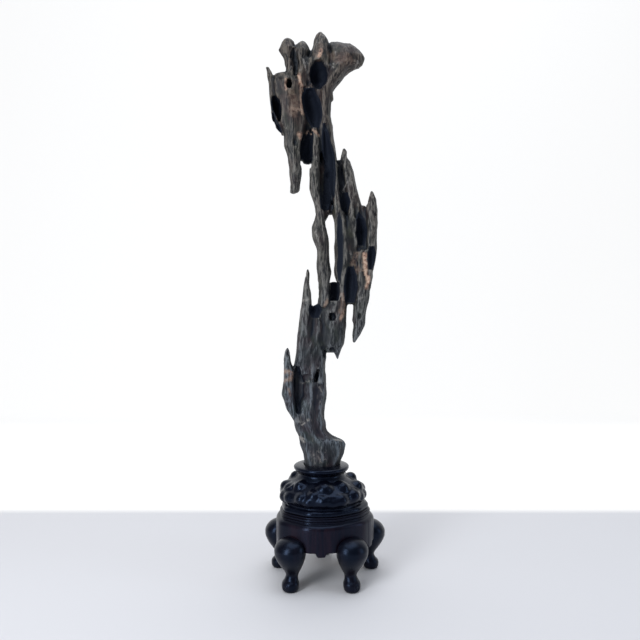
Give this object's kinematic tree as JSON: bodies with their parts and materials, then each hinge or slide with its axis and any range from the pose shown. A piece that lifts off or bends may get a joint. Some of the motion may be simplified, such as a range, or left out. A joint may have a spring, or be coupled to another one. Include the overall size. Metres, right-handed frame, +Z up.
{
  "type": "scholars rock on a carved wooden stand",
  "caption": "Tall pierced scholar's rock, dark and water-worn, its foot let into a carved dark wood stand with a flared collar, rockwork dome, panelled apron and cabriole legs.",
  "frame": {"origin": "middle of the whole object's box in plan, on the surface it stands on", "axes": "+Z up along the rock; the front looks towards -Y; +X to the right seen from the front"},
  "size_m": [0.1356, 0.1334, 0.6065],
  "materials": {
    "rock": "natural, hand-rubbed, with pale and orange-pink veins",
    "dark_wood": "near-black stain, wax-polished",
    "red_wood": "dark red-brown stain, wax-polished"
  },
  "bodies": {
    "root": {"stone": "rock", "stand_top": "dark_wood", "stand_apron": "red_wood", "leg_front_left": "dark_wood", "leg_front_right": "dark_wood", "leg_right": "dark_wood", "leg_back": "dark_wood", "leg_left": "dark_wood"}
  },
  "joints": []
}
